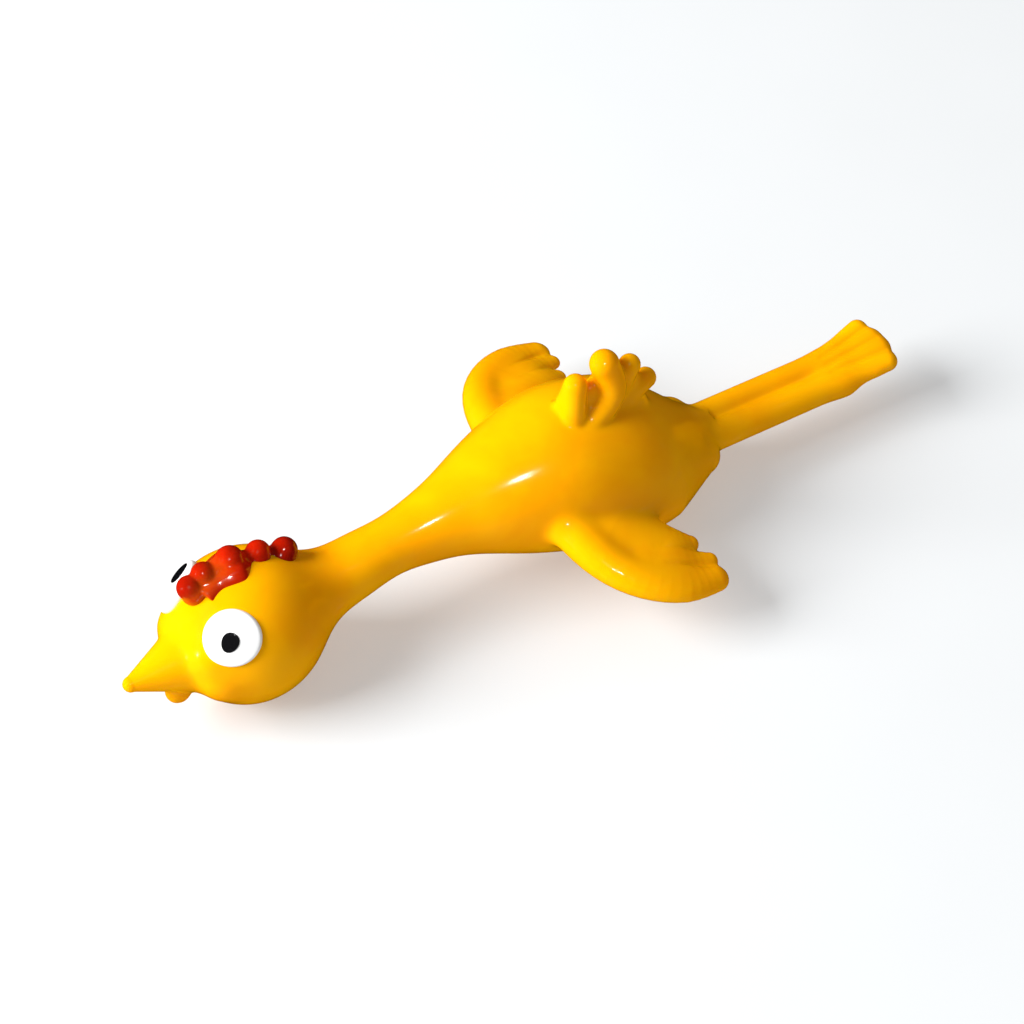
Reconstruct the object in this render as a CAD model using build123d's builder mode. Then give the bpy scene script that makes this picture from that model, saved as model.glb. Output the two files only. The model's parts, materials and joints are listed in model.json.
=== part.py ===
from build123d import *

# A small stretchy rubber chicken. It is one soft moulding, divided here where its rubber flexes.
# Millimetres. +X is towards the beak, +Y is the chicken's left and +Z is up.
# The origin is the centre of the whole figure's outline, on the floor.

import os
from math import cos, radians, sin

os.makedirs("parts", exist_ok=True)

# ---- Driving dimensions ----
LENGTH = 110.0  # beak tip to toe tips
GAP = 0.3  # clear air between two stretches of rubber
LIMIT_SPARE = 5.0  # degrees of room left past each hinge's limit

# Trunk stations: place along X, height of the centre, radius.
TRUNK_STATIONS = [
    (0.5, 13.1, 8.9),
    (-5.5, 12.5, 10.5),
    (-11.5, 11.0, 11.2),
    (-17.0, 9.8, 9.8),
    (-22.5, 9.0, 6.9),
]
CHEST_Z, CHEST_R = 13.2, 6.2  # front face
RUMP_Z, RUMP_R = 8.4, 4.6  # rear face

# Neck balls, from the trunk to the head: place along X, height, radius.
SWING_X, SWING_Z, SWING_R = 10.0, 13.1, 5.0
LIFT_X, LIFT_Z, LIFT_R = 15.4, 12.6, 4.1
NOD_X, NOD_Z, NOD_R = 26.4, 11.2, 4.1
NECK_LIMIT = 35.0
SHANK_LESS = 0.1  # a ball's shank is this much slimmer than the ball
STRETCH_X, STRETCH_Z, NECK_R = 20.8, 11.9, 3.8  # where the neck parts as it is pulled

# Head. It lies rolled a little onto its right cheek, with the beak turned a little to its left.
HEAD_X, HEAD_Z, HEAD_R = 38.2, 9.7, 9.9
HEAD_ROLL, HEAD_YAW = 14.0, 5.5
NAPE_X, NAPE_R = 31.0, 5.5
# From here to the eyes, places are forward of the head's centre, to its left and above it.
BEAK_X, BEAK_Z, BEAK_R = 6.4, -1.6, 4.9
BEAK_TIP_Z, BEAK_TIP_R = -0.6, 1.3
WATTLE_X, WATTLE_Z, WATTLE_WIDE, WATTLE_THICK = 9.0, -6.6, 4.4, 3.0

# Comb lobes from front to back: place forward, height, radius.
COMB_LOBES = [(6.2, 8.8, 1.8), (4.0, 9.8, 1.8), (0.0, 10.3, 2.1), (-3.9, 9.3, 1.9), (-7.2, 7.6, 1.9)]
COMB_THICK, COMB_ROOT = 4.4, 1.2

# Eyes
# Directions from the head's centre: forward, left, up. The left eye is painted a little lower.
EYE_DIRECTIONS = {"left": (0.50, 0.69, 0.52), "right": (0.54, -0.54, 0.64)}
EYE_R, EYE_PROUD, EYE_SUNK = 3.65, 0.6, 0.3
PUPIL_R, PUPIL_PROUD, PUPIL_SUNK = 1.2, 0.15, 0.2

# Wings. The root line runs back beside the trunk, falling towards the tail.
WING_ROOT_X, WING_ROOT_Y, WING_ROOT_Z = 0.0, 11.9, 13.0
WING_ROOT_LENGTH, WING_SLOPE, WING_DROOP = 14.0, 13.0, 8.0
WING_THICK = 3.6
# Outline in the wing's own plane: distance back along the root line, distance out from it.
WING_LEADING_EDGE = [(0.0, 0.0), (2.6, 5.4), (7.0, 9.4), (13.0, 11.1), (18.4, 10.4)]
WING_FEATHERS = [(16.4, 8.9), (18.6, 7.2), (16.0, 5.6), (17.6, 3.8), (WING_ROOT_LENGTH, 0.0)]
FEATHER_ROUND = 0.5

# Tail plume. The root line runs back along the rump, falling towards the tail.
PLUME_ROOT_X, PLUME_ROOT_Z = -8.6, 23.2
PLUME_ROOT_LENGTH, PLUME_SLOPE, PLUME_THICK = 12.0, 17.0, 4.0
# Feather tips from front to back: place along X, height, radius.
PLUME_TIPS = [(-8.6, 27.2, 1.7), (-12.2, 29.7, 1.9), (-16.2, 26.8, 1.9), (-19.6, 22.2, 1.9)]

# Legs: two legs lie side by side in one strip.
LEGS_WIDE, LEGS_THICK, LEGS_Z = 7.0, 3.6, 8.4
LEGS_SWING_X, LEGS_LIFT_X, LEGS_STRETCH_X, FEET_X = -29.2, -34.4, -40.2, -46.2
LEGS_SWING_LIMIT, LEGS_BEND_LIMIT = 35.0, 35.0
FEET_WIDE, TOE_COUNT, TOE_R = 8.8, 4, 1.25


# ---- Worked out from them ----
def setback(radius, limit):
    """How far a rim stands from a hinge, so that the next stretch clears it at the limit."""
    return (radius + GAP) * sin(radians(limit + LIMIT_SPARE))


def across(x, z):
    """Plane square to X, with its origin on the centre line."""
    return Plane(origin=(x, 0, z), x_dir=(0, 1, 0), z_dir=(1, 0, 0))


def head_section(forward, up):
    """Plane square to the beak, with its origin on the head's own centre line."""
    centre = HEAD_PLANE.from_local_coords(Vector(forward, 0, up))
    return Plane(origin=centre, x_dir=HEAD_PLANE.y_dir, z_dir=HEAD_PLANE.x_dir)


def down_the_back(slope):
    """Direction towards the tail that falls by slope degrees."""
    return (-cos(radians(slope)), 0, -sin(radians(slope)))


CHEST_FACE = (SWING_X - setback(SWING_R, NECK_LIMIT), CHEST_Z, CHEST_R)
RUMP_FACE = (LEGS_SWING_X + setback(LEGS_WIDE / 2, LEGS_SWING_LIMIT), RUMP_Z, RUMP_R)
LIFT_FACE_X = LIFT_X - setback(LIFT_R, NECK_LIMIT)
NOD_FACE_X = NOD_X - setback(NOD_R, NECK_LIMIT)
BEND_R = LEGS_THICK / 2
LEGS_LIFT_FACE_X = LEGS_LIFT_X + setback(BEND_R, LEGS_BEND_LIMIT)
FEET_FACE_X = FEET_X + setback(BEND_R, LEGS_BEND_LIMIT)
HEAD_PLANE = Plane(
    origin=(HEAD_X, 0, HEAD_Z),
    x_dir=(cos(radians(HEAD_YAW)), sin(radians(HEAD_YAW)), 0),
    z_dir=(
        sin(radians(HEAD_YAW)) * sin(radians(HEAD_ROLL)),
        -cos(radians(HEAD_YAW)) * sin(radians(HEAD_ROLL)),
        cos(radians(HEAD_ROLL)),
    ),
)
HEAD_PROFILE = Plane(origin=HEAD_PLANE.origin, x_dir=HEAD_PLANE.x_dir, z_dir=-HEAD_PLANE.y_dir)
BEAK_TIP_X = (LENGTH / 2 - BEAK_TIP_R - HEAD_X) / cos(radians(HEAD_YAW))
TOE_X = -LENGTH / 2 + TOE_R
PLUME_ROOT = Plane(
    origin=(PLUME_ROOT_X, 0, PLUME_ROOT_Z), x_dir=(0, 1, 0), z_dir=down_the_back(PLUME_SLOPE)
)
WING_ROOTS = [
    Plane(
        origin=(WING_ROOT_X, side * WING_ROOT_Y, WING_ROOT_Z),
        x_dir=(0, 1, 0),
        z_dir=down_the_back(WING_SLOPE),
    )
    for side in (1, -1)
]
WING_BACK = Vector(*down_the_back(WING_SLOPE))
WING_LEVEL = Vector(0, 1, 0)
WING_OUT = WING_LEVEL.rotate(Axis((0, 0, 0), tuple(WING_BACK)), WING_DROOP)
WING_PLANE = Plane(origin=WING_ROOTS[0].origin, x_dir=WING_BACK, z_dir=WING_BACK.cross(WING_OUT))


# ---- Trunk ----
with BuildPart() as torso:
    for station_x, station_z, station_r in [CHEST_FACE, *TRUNK_STATIONS, RUMP_FACE]:
        with BuildSketch(across(station_x, station_z)):
            Circle(station_r)
    loft()
    # The neck's ball sits in a cup in the chest, and the legs swing in an upright pocket.
    with Locations((SWING_X, 0, SWING_Z)):
        Sphere(SWING_R + GAP, mode=Mode.SUBTRACT)
    with Locations((LEGS_SWING_X, 0, LEGS_Z)):
        Cylinder(LEGS_WIDE / 2 + GAP, 4 * LEGS_WIDE, mode=Mode.SUBTRACT)
    # Grooves clear the round roots of the wings and of the tail plume.
    for wing_root in WING_ROOTS:
        with BuildSketch(wing_root.offset(-WING_ROOT_LENGTH)):
            Circle(WING_THICK / 2 + GAP)
        extrude(amount=3 * WING_ROOT_LENGTH, mode=Mode.SUBTRACT)
    with BuildSketch(PLUME_ROOT.offset(-PLUME_ROOT_LENGTH)):
        Circle(PLUME_THICK / 2 + GAP)
    extrude(amount=3 * PLUME_ROOT_LENGTH, mode=Mode.SUBTRACT)
    # The belly is flat where the figure rests.
    split(bisect_by=Plane.XY, keep=Keep.TOP)
torso.part.label = "torso"
export_step(torso.part, "parts/torso.step")

# ---- Neck: three stretches between the chest and the nape ----
with BuildPart() as neck_base:
    with Locations((SWING_X, 0, SWING_Z)):
        Sphere(SWING_R)
    split(bisect_by=Plane.YZ.offset(LIFT_FACE_X), keep=Keep.BOTTOM)
    with Locations((LIFT_X, 0, LIFT_Z)):
        Sphere(LIFT_R + GAP, mode=Mode.SUBTRACT)
neck_base.part.label = "neck_base"
export_step(neck_base.part, "parts/neck_base.step")

with BuildPart() as neck_middle:
    with BuildSketch(across(LIFT_X, LIFT_Z)):
        Circle(LIFT_R - SHANK_LESS)
    with BuildSketch(across(STRETCH_X - GAP / 2, STRETCH_Z)):
        Circle(NECK_R)
    loft()
    with Locations((LIFT_X, 0, LIFT_Z)):
        Sphere(LIFT_R)
neck_middle.part.label = "neck_middle"
export_step(neck_middle.part, "parts/neck_middle.step")

with BuildPart() as neck_top:
    with BuildSketch(across(STRETCH_X + GAP / 2, STRETCH_Z)):
        Circle(NECK_R)
    with BuildSketch(across(NOD_FACE_X, NOD_Z)):
        Circle(NOD_R)
    loft()
    with Locations((NOD_X, 0, NOD_Z)):
        Sphere(NOD_R + GAP, mode=Mode.SUBTRACT)
neck_top.part.label = "neck_top"
export_step(neck_top.part, "parts/neck_top.step")

# ---- Comb and eyes, which the head has seats for ----
with BuildPart() as comb:
    with BuildSketch(HEAD_PROFILE):
        for lobe_x, lobe_z, lobe_r in COMB_LOBES:
            with Locations((lobe_x, lobe_z)):
                Circle(lobe_r)
        with BuildLine():
            Polyline((0, 0), *[(x, z) for x, z, _ in COMB_LOBES], close=True)
        make_face()
    extrude(amount=COMB_THICK / 2, both=True)
    with Locations(HEAD_PLANE.origin):
        Sphere(HEAD_R - COMB_ROOT, mode=Mode.SUBTRACT)
comb.part.label = "comb"
export_step(comb.part, "parts/comb.step")

# Each pupil is seated in its eye white, and each eye white in the head. All follow the head's ball.
eyes = {}
for side_name, direction in EYE_DIRECTIONS.items():
    gaze = HEAD_PLANE.from_local_coords(Vector(*direction)) - HEAD_PLANE.origin
    eye_plane = Plane(origin=HEAD_PLANE.origin, z_dir=gaze)
    with BuildPart() as pupil:
        with BuildSketch(eye_plane):
            Circle(PUPIL_R)
        extrude(amount=2 * HEAD_R)
        with Locations(HEAD_PLANE.origin):
            Sphere(HEAD_R + EYE_PROUD + PUPIL_PROUD, mode=Mode.INTERSECT)
            Sphere(HEAD_R + EYE_PROUD - PUPIL_SUNK, mode=Mode.SUBTRACT)
    pupil.part.label = f"pupil_{side_name}"
    export_step(pupil.part, f"parts/pupil_{side_name}.step")

    with BuildPart() as eye_white:
        with BuildSketch(eye_plane):
            Circle(EYE_R)
        extrude(amount=2 * HEAD_R)
        with Locations(HEAD_PLANE.origin):
            Sphere(HEAD_R + EYE_PROUD, mode=Mode.INTERSECT)
            Sphere(HEAD_R - EYE_SUNK, mode=Mode.SUBTRACT)
        add(pupil.part, mode=Mode.SUBTRACT)
        add(comb.part, mode=Mode.SUBTRACT)
    eye_white.part.label = f"eye_white_{side_name}"
    export_step(eye_white.part, f"parts/eye_white_{side_name}.step")
    eyes[side_name] = eye_white.part

# ---- Head, with its beak and wattle ----
with BuildPart() as head:
    with Locations(HEAD_PLANE.origin):
        Sphere(HEAD_R)
    with BuildSketch(across(NOD_X, NOD_Z)):
        Circle(NOD_R - SHANK_LESS)
    with BuildSketch(across(NAPE_X, NOD_Z)):
        Circle(NAPE_R)
    loft()
    with Locations((NOD_X, 0, NOD_Z)):
        Sphere(NOD_R)
    with BuildSketch(head_section(BEAK_X, BEAK_Z)):
        Circle(BEAK_R)
    with BuildSketch(head_section(BEAK_TIP_X, BEAK_TIP_Z)):
        Circle(BEAK_TIP_R)
    loft()
    with Locations(head_section(BEAK_TIP_X, BEAK_TIP_Z).origin):
        Sphere(BEAK_TIP_R)
    with BuildSketch(HEAD_PROFILE):
        with Locations((WATTLE_X, WATTLE_Z)):
            Circle(WATTLE_WIDE / 2)
        with Locations((WATTLE_X, WATTLE_Z / 2)):
            Rectangle(WATTLE_WIDE, -WATTLE_Z)
    extrude(amount=WATTLE_THICK / 2, both=True)
    split(bisect_by=Plane.XY, keep=Keep.TOP)
    for inset in (comb.part, *eyes.values()):
        add(inset, mode=Mode.SUBTRACT)
head.part.label = "head"
export_step(head.part, "parts/head.step")

# ---- Wings ----
with BuildPart() as wing_left:
    with BuildSketch(WING_PLANE) as wing_outline:
        with BuildLine():
            Spline(*WING_LEADING_EDGE)
            Polyline(WING_LEADING_EDGE[-1], *WING_FEATHERS)
            Line(WING_FEATHERS[-1], WING_LEADING_EDGE[0])
        make_face()
        fillet(wing_outline.vertices().sort_by(Axis.Y)[2:], FEATHER_ROUND)
    extrude(amount=WING_THICK / 2, both=True)
    with BuildSketch(WING_ROOTS[0]):
        Circle(WING_THICK / 2)
    extrude(amount=WING_ROOT_LENGTH)
wing_left.part.label = "wing_left"
export_step(wing_left.part, "parts/wing_left.step")

with BuildPart() as wing_right:
    mirror(wing_left.part, about=Plane.XZ)
wing_right.part.label = "wing_right"
export_step(wing_right.part, "parts/wing_right.step")

# ---- Tail plume ----
with BuildPart() as tail_plume:
    with BuildSketch(Plane.XZ):
        for tip_x, tip_z, tip_r in PLUME_TIPS:
            with Locations((tip_x, tip_z)):
                Circle(tip_r)
        root_back = down_the_back(PLUME_SLOPE)
        root_end = (
            PLUME_ROOT_X + PLUME_ROOT_LENGTH * root_back[0],
            PLUME_ROOT_Z + PLUME_ROOT_LENGTH * root_back[2],
        )
        with BuildLine():
            Polyline((PLUME_ROOT_X, PLUME_ROOT_Z), *[(x, z) for x, z, _ in PLUME_TIPS], root_end, close=True)
        make_face()
    extrude(amount=PLUME_THICK / 2, both=True)
    with BuildSketch(PLUME_ROOT):
        Circle(PLUME_THICK / 2)
    extrude(amount=PLUME_ROOT_LENGTH)
tail_plume.part.label = "tail_plume"
export_step(tail_plume.part, "parts/tail_plume.step")

# ---- Legs: three stretches of the strip, then the feet ----
with BuildPart() as legs_root:
    with BuildSketch(Plane.XY.offset(LEGS_Z - LEGS_THICK / 2)):
        with Locations((LEGS_SWING_X, 0)):
            Circle(LEGS_WIDE / 2)
        with Locations(((LEGS_SWING_X + LEGS_LIFT_FACE_X) / 2, 0)):
            Rectangle(LEGS_SWING_X - LEGS_LIFT_FACE_X, LEGS_WIDE)
    extrude(amount=LEGS_THICK)
    split(bisect_by=Plane.YZ.offset(LEGS_LIFT_FACE_X), keep=Keep.TOP)
    with BuildSketch(Plane.XZ):
        with Locations((LEGS_LIFT_X, LEGS_Z)):
            Circle(BEND_R + GAP)
    extrude(amount=LEGS_WIDE, both=True, mode=Mode.SUBTRACT)
legs_root.part.label = "legs_root"
export_step(legs_root.part, "parts/legs_root.step")

with BuildPart() as legs_middle:
    with BuildSketch(Plane.XZ):
        with Locations((LEGS_LIFT_X, LEGS_Z)):
            Circle(BEND_R)
        with Locations(((LEGS_LIFT_X + LEGS_STRETCH_X + GAP / 2) / 2, LEGS_Z)):
            Rectangle(LEGS_LIFT_X - LEGS_STRETCH_X - GAP / 2, LEGS_THICK)
    extrude(amount=LEGS_WIDE / 2, both=True)
legs_middle.part.label = "legs_middle"
export_step(legs_middle.part, "parts/legs_middle.step")

with BuildPart() as legs_end:
    with BuildSketch(Plane.XZ):
        with Locations(((LEGS_STRETCH_X - GAP / 2 + FEET_FACE_X) / 2, LEGS_Z)):
            Rectangle(LEGS_STRETCH_X - GAP / 2 - FEET_FACE_X, LEGS_THICK)
        with Locations((FEET_X, LEGS_Z)):
            Circle(BEND_R + GAP, mode=Mode.SUBTRACT)
    extrude(amount=LEGS_WIDE / 2, both=True)
legs_end.part.label = "legs_end"
export_step(legs_end.part, "parts/legs_end.step")

with BuildPart() as feet:
    with BuildSketch(Plane.XY.offset(LEGS_Z - LEGS_THICK / 2)):
        with BuildLine():
            Polyline(
                (FEET_X, LEGS_WIDE / 2),
                (TOE_X, FEET_WIDE / 2),
                (TOE_X, -FEET_WIDE / 2),
                (FEET_X, -LEGS_WIDE / 2),
                close=True,
            )
        make_face()
        with Locations((TOE_X, 0)):
            with GridLocations(0, (FEET_WIDE - 2 * TOE_R) / (TOE_COUNT - 1), 1, TOE_COUNT):
                Circle(TOE_R)
    extrude(amount=LEGS_THICK)
    with BuildSketch(Plane.XZ):
        with Locations((FEET_X, LEGS_Z)):
            Circle(BEND_R)
    extrude(amount=LEGS_WIDE / 2, both=True)
feet.part.label = "feet"
export_step(feet.part, "parts/feet.step")
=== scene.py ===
import json
import logging
import math
from dataclasses import dataclass, field
from enum import Enum
from typing import Callable, Sequence

import bmesh
import bpy
import numpy as np
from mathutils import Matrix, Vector

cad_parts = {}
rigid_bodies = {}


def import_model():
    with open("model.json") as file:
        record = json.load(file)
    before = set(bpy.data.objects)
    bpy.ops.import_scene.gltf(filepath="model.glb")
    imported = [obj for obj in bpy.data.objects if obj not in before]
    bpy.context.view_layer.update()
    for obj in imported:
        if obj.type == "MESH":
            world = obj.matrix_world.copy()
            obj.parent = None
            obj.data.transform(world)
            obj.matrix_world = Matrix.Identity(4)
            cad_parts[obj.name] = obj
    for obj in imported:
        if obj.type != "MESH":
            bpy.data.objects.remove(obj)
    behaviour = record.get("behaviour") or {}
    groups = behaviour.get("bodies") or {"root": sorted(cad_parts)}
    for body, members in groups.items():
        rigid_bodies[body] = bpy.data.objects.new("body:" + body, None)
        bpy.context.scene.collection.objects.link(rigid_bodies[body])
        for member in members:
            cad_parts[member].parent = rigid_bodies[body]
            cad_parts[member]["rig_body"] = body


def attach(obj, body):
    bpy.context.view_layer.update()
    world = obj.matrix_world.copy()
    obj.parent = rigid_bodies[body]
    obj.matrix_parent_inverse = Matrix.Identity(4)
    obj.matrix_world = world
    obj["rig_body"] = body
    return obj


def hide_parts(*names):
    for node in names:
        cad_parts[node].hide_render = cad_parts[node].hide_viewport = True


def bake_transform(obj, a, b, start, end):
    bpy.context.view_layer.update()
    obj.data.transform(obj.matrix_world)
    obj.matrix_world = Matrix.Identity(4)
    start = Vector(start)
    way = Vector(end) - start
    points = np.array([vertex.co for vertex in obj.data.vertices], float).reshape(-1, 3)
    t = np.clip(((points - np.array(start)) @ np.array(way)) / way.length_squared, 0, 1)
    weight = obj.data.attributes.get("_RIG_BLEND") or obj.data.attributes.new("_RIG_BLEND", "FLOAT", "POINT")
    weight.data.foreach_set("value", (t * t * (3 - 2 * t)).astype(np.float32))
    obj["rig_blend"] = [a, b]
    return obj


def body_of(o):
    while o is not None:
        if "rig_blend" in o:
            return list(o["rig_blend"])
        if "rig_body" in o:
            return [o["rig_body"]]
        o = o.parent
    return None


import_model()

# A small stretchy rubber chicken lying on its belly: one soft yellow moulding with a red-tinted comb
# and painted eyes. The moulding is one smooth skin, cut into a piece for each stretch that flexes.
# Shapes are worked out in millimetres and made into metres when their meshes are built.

log = logging.getLogger("rubber_chicken")

MM = 0.001
FAR = 40.0  # distance given to points that no shape comes near
REACH = 3.6  # shapes are measured this far outside their own outline
BULGE = 0.5  # how far a smooth line may swing past its knots
Point = tuple[float, float, float]


class Slot(Enum):
    """The record's material slots."""

    RUBBER = "yellow_rubber"
    RED_RUBBER = "red_rubber"
    WHITE = "white_paint"
    BLACK = "black_paint"


# ---- Smooth shapes ----
def smooth_union(first: np.ndarray, second: np.ndarray, blend: float) -> np.ndarray:
    """Joins two distance fields with a rounded valley between them.

    Args:
        first: distances to the first shape.
        second: distances to the second shape.
        blend: how far from the join the rounding reaches.

    Returns:
        Distances to the joined shape.
    """
    near = np.maximum(blend - np.abs(first - second), 0.0) / blend
    return np.minimum(first, second) - near**3 * blend / 6.0


def unit(vector: Sequence[float]) -> np.ndarray:
    """A vector's direction, with length one."""
    array = np.asarray(vector, float)
    return array / np.linalg.norm(array)


def natural_cubic(knots: np.ndarray, values: np.ndarray) -> Callable[[np.ndarray], np.ndarray]:
    """A natural cubic spline through values at rising knots.

    Args:
        knots: places of the values, rising.
        values: what the spline passes through.

    Returns:
        A function that gives the spline's value anywhere between the first and last knot.
    """
    gaps = np.diff(knots)
    count = len(knots)
    system, rate = np.eye(count), np.zeros(count)
    slopes = np.diff(values) / gaps
    for i in range(1, count - 1):
        system[i, i - 1 : i + 2] = gaps[i - 1], 2 * (gaps[i - 1] + gaps[i]), gaps[i]
        rate[i] = 6 * (slopes[i] - slopes[i - 1])
    bends = np.linalg.solve(system, rate)

    def at(places: np.ndarray) -> np.ndarray:
        """The spline at some places."""
        i = np.clip(np.searchsorted(knots, places) - 1, 0, count - 2)
        gap = gaps[i]
        after, before = (places - knots[i]) / gap, (knots[i + 1] - places) / gap
        bend = (before**3 - before) * bends[i] + (after**3 - after) * bends[i + 1]
        return before * values[i] + after * values[i + 1] + bend * gap**2 / 6

    return at


@dataclass(frozen=True)
class Roll:
    """A rubber sausage of oval section that can taper, from one point to another.

    start_size and end_size are its half width and half thickness, and thin is the direction of its
    thickness. A lump is a roll whose ends are close together.
    """

    start: Point
    end: Point
    start_size: tuple[float, float]
    end_size: tuple[float, float]
    thin: Point = (0.0, 0.0, 1.0)
    blend: float = 1.5

    def centre_and_reach(self) -> tuple[np.ndarray, float]:
        """A ball that holds every point this roll is measured for."""
        start, end = np.array(self.start), np.array(self.end)
        widest = max(*self.start_size, *self.end_size)
        return (start + end) / 2, np.linalg.norm(end - start) / 2 + widest + REACH + self.blend

    def distance(self, points: np.ndarray) -> np.ndarray:
        """Signed distances from points to the roll."""
        start, run = np.array(self.start), np.array(self.end) - np.array(self.start)
        length = np.linalg.norm(run)
        along = run / length
        thin = unit(np.array(self.thin) - np.dot(self.thin, along) * along)
        wide = np.cross(thin, along)
        offset = points - start
        place = offset @ along
        share = np.clip(place / length, 0, 1)
        half_wide = self.start_size[0] + share * (self.end_size[0] - self.start_size[0])
        half_thick = self.start_size[1] + share * (self.end_size[1] - self.start_size[1])
        parts = np.stack([place - share * length, offset @ wide, offset @ thin], 1)
        halves = np.stack([half_wide, half_wide, half_thick], 1)
        scaled = np.linalg.norm(parts / halves, axis=1)
        slope = np.linalg.norm(parts / halves**2, axis=1)
        inside = scaled < 1e-3
        return np.where(inside, -half_thick, scaled * (scaled - 1) / np.maximum(slope, 1e-9))


@dataclass(frozen=True)
class Strand:
    """A rubber sausage that follows a smooth line through its knots, with a size at each knot."""

    knots: tuple[Point, ...]
    sizes: tuple[tuple[float, float], ...]
    thin: Point = (0.0, 0.0, 1.0)
    blend: float = 1.5
    spans: int = 4

    def rolls(self) -> list[Roll]:
        """The short straight rolls that the strand is made of."""
        count = len(self.knots)
        at_knots = np.arange(count, dtype=float)
        places = np.linspace(0, count - 1, (count - 1) * self.spans + 1)
        curves = [natural_cubic(at_knots, np.array(values, float)) for values in zip(*self.knots)]
        line = np.stack([curve(places) for curve in curves], 1)
        sizes = np.stack([np.interp(places, at_knots, values) for values in zip(*self.sizes)], 1)
        line, sizes = list(map(tuple, line)), list(map(tuple, sizes))
        steps = zip(line, line[1:], sizes, sizes[1:])
        return [Roll(start, end, size, next_size, self.thin) for start, end, size, next_size in steps]

    def centre_and_reach(self) -> tuple[np.ndarray, float]:
        """A ball that holds every point this strand is measured for."""
        knots = np.array(self.knots)
        centre = (knots.min(0) + knots.max(0)) / 2
        longest = np.linalg.norm(knots - centre, axis=1).max()
        return centre, longest + max(map(max, self.sizes)) + REACH + self.blend + BULGE

    def distance(self, points: np.ndarray) -> np.ndarray:
        """Signed distances from points to the strand."""
        return np.minimum.reduce([roll.distance(points) for roll in self.rolls()])


@dataclass(frozen=True)
class Spindle:
    """A round body along X whose height and radius follow smooth curves through its stations."""

    stations: Sequence[tuple[float, float, float]]
    blend: float = 1.0
    height: float = 10.0
    margin: float = 16.0
    step: float = 0.05

    def centre_and_reach(self) -> tuple[np.ndarray, float]:
        """A ball that holds every point the spindle is measured for."""
        xs = [station[0] for station in self.stations]
        return np.array([(min(xs) + max(xs)) / 2, 0, self.height]), (max(xs) - min(xs)) / 2 + self.margin

    def distance(self, points: np.ndarray) -> np.ndarray:
        """Signed distances from points to the spindle."""
        table = np.array(sorted(self.stations))
        height_at, radius_at = (natural_cubic(table[:, 0], table[:, i]) for i in (1, 2))
        first, last = table[0, 0], table[-1, 0]
        x = np.clip(points[:, 0], first, last)
        radius = radius_at(x)
        ahead, behind = np.minimum(x + self.step, last), np.maximum(x - self.step, first)
        slope = (radius_at(ahead) - radius_at(behind)) / (2 * self.step)
        from_axis = np.hypot(points[:, 1], points[:, 2] - height_at(x)) - radius
        past_end = np.abs(points[:, 0] - x)
        body = from_axis / np.sqrt(1 + slope**2)
        return np.where(past_end > 0, np.hypot(past_end, np.maximum(from_axis, 0)), body)


@dataclass(frozen=True)
class Crease:
    """A shallow valley pressed into the skin along a line."""

    start: Point
    end: Point
    half_width: float
    depth: float

    def dent(self, points: np.ndarray) -> np.ndarray:
        """How deep the skin is pressed in at some points."""
        start, run = np.array(self.start), np.array(self.end) - np.array(self.start)
        share = np.clip((points - start) @ run / (run @ run), 0, 1)
        away = np.linalg.norm(points - start - share[:, None] * run, axis=1)
        fade = np.sin(np.pi * np.clip(0.15 + 0.7 * share, 0, 1))
        return self.depth * fade * np.exp(-((away / self.half_width) ** 2))


@dataclass
class RubberForm:
    """The whole moulding: rolls joined with rounded valleys, creases, and a belly flat on the floor."""

    shapes: list[Roll | Strand | Spindle] = field(default_factory=list)
    creases: list[Crease] = field(default_factory=list)
    floor_blend: float = 1.2

    def distance(self, points: np.ndarray) -> np.ndarray:
        """Signed distances from points, in millimetres, to the moulding's surface."""
        result = np.full(len(points), FAR)
        for shape in self.shapes:
            centre, reach = shape.centre_and_reach()
            near = np.nonzero(((points - centre) ** 2).sum(1) < reach**2)[0]
            if len(near):
                result[near] = smooth_union(result[near], shape.distance(points[near]), shape.blend)
        for crease in self.creases:
            middle = (np.array(crease.start) + np.array(crease.end)) / 2
            reach = np.linalg.norm(np.array(crease.end) - middle) + 3 * crease.half_width
            near = np.nonzero(((points - middle) ** 2).sum(1) < reach**2)[0]
            if len(near):
                result[near] += crease.dent(points[near])
        return -smooth_union(-result, points[:, 2], self.floor_blend)

    def outward(self, points: np.ndarray, step: float = 0.04) -> np.ndarray:
        """The field's gradient at points, which is the outward direction at the surface."""
        slopes = np.empty_like(points)
        for axis in range(3):
            shift = np.zeros(3)
            shift[axis] = step
            slopes[:, axis] = (self.distance(points + shift) - self.distance(points - shift)) / (2 * step)
        return slopes

    def settle(self, points: np.ndarray, times: int) -> np.ndarray:
        """Moves points onto the surface along the gradient."""
        for _ in range(times):
            slopes = self.outward(points)
            steepness = np.maximum((slopes**2).sum(1), 0.05)
            points = points - slopes * (self.distance(points) / steepness)[:, None]
        return points

    def seen_from(self, starts: np.ndarray, direction: np.ndarray) -> np.ndarray:
        """Where rays from starts, going along direction, meet the surface."""
        points, steps, share = starts.copy(), 60, 0.8
        for _ in range(steps):
            points = points + direction * (self.distance(points) * share)[:, None]
        return points


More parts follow.
